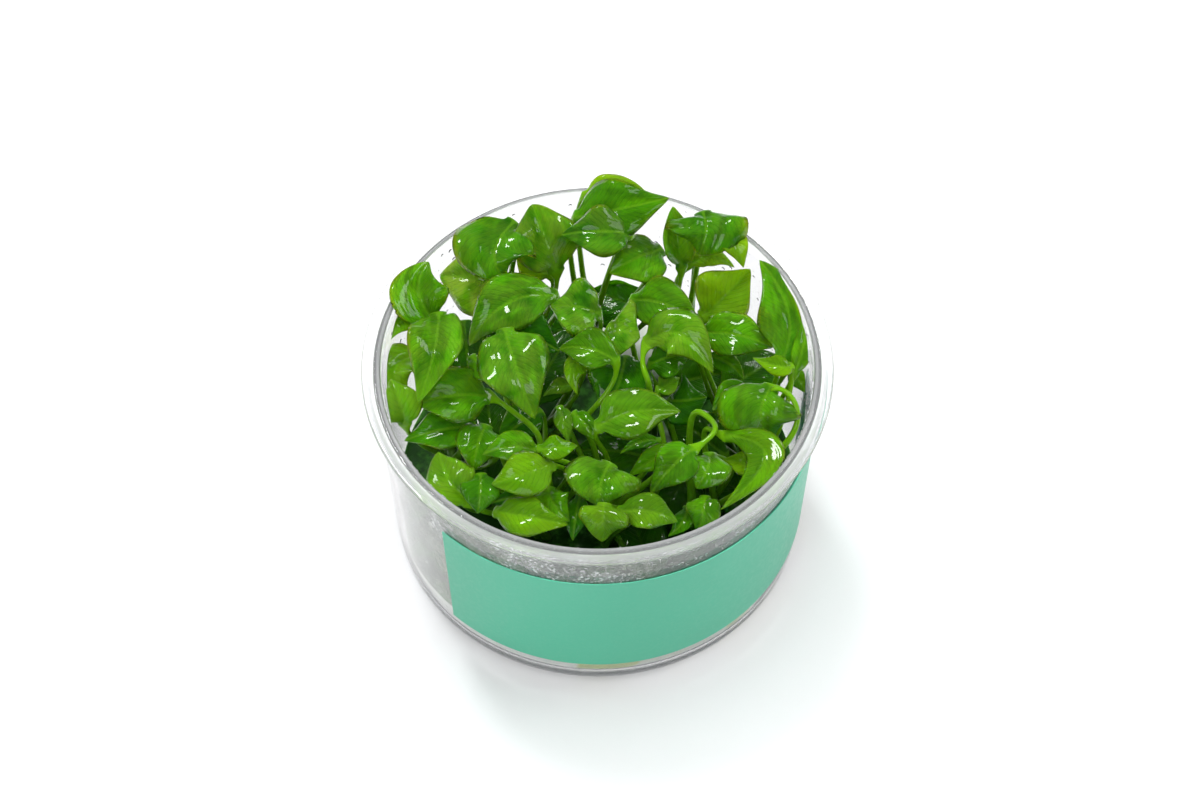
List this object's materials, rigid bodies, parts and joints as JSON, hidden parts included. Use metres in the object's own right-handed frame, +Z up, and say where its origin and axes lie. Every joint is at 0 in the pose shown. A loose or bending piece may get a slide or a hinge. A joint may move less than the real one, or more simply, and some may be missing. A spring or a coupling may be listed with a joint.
{
  "type": "tissue culture plant cup",
  "caption": "Open clear cup with a wide rim and a wrap label, holding a pad of agar gel and a dense tuft of small glossy leaves on short rooted shoots.",
  "frame": {"origin": "centre of the jar's base on the surface that it stands on", "axes": "+Z up along the jar's axis, -Y towards the front of the label, +X to its right"},
  "size_m": [0.1, 0.1, 0.0649],
  "materials": {
    "clear_plastic": "clear, glossy",
    "agar_gel": "cloudy gel, moist",
    "label_film": "satin printed film",
    "leaf_green": "waxy, wet in places",
    "stem_green": "waxy"
  },
  "bodies": {
    "root": {"jar": "clear_plastic", "gel": "agar_gel", "label": "label_film", "leaf_01": "leaf_green", "leaf_02": "leaf_green", "leaf_03": "leaf_green", "leaf_04": "leaf_green", "leaf_05": "leaf_green", "leaf_06": "leaf_green", "leaf_07": "leaf_green", "leaf_08": "leaf_green", "leaf_09": "leaf_green", "leaf_10": "leaf_green", "leaf_11": "leaf_green", "leaf_12": "leaf_green", "leaf_13": "leaf_green", "leaf_14": "leaf_green", "leaf_15": "leaf_green", "leaf_16": "leaf_green", "leaf_17": "leaf_green", "leaf_18": "leaf_green", "leaf_19": "leaf_green", "leaf_20": "leaf_green", "leaf_21": "leaf_green", "leaf_22": "leaf_green", "leaf_23": "leaf_green", "leaf_24": "leaf_green", "leaf_25": "leaf_green", "leaf_26": "leaf_green", "leaf_27": "leaf_green", "leaf_28": "leaf_green", "leaf_29": "leaf_green", "leaf_30": "leaf_green", "leaf_31": "leaf_green", "leaf_32": "leaf_green", "leaf_33": "leaf_green", "leaf_34": "leaf_green", "leaf_35": "leaf_green", "leaf_36": "leaf_green", "leaf_37": "leaf_green", "leaf_38": "leaf_green", "leaf_39": "leaf_green", "leaf_40": "leaf_green", "leaf_41": "leaf_green", "leaf_42": "leaf_green", "leaf_43": "leaf_green", "leaf_44": "leaf_green", "leaf_45": "leaf_green", "leaf_46": "leaf_green", "shoot_a": "stem_green", "shoot_b": "stem_green", "shoot_c": "stem_green", "shoot_d": "stem_green", "shoot_e": "stem_green", "shoot_f": "stem_green", "shoot_g": "stem_green", "shoot_h": "stem_green", "shoot_i": "stem_green", "shoot_j": "stem_green"}
  },
  "joints": []
}
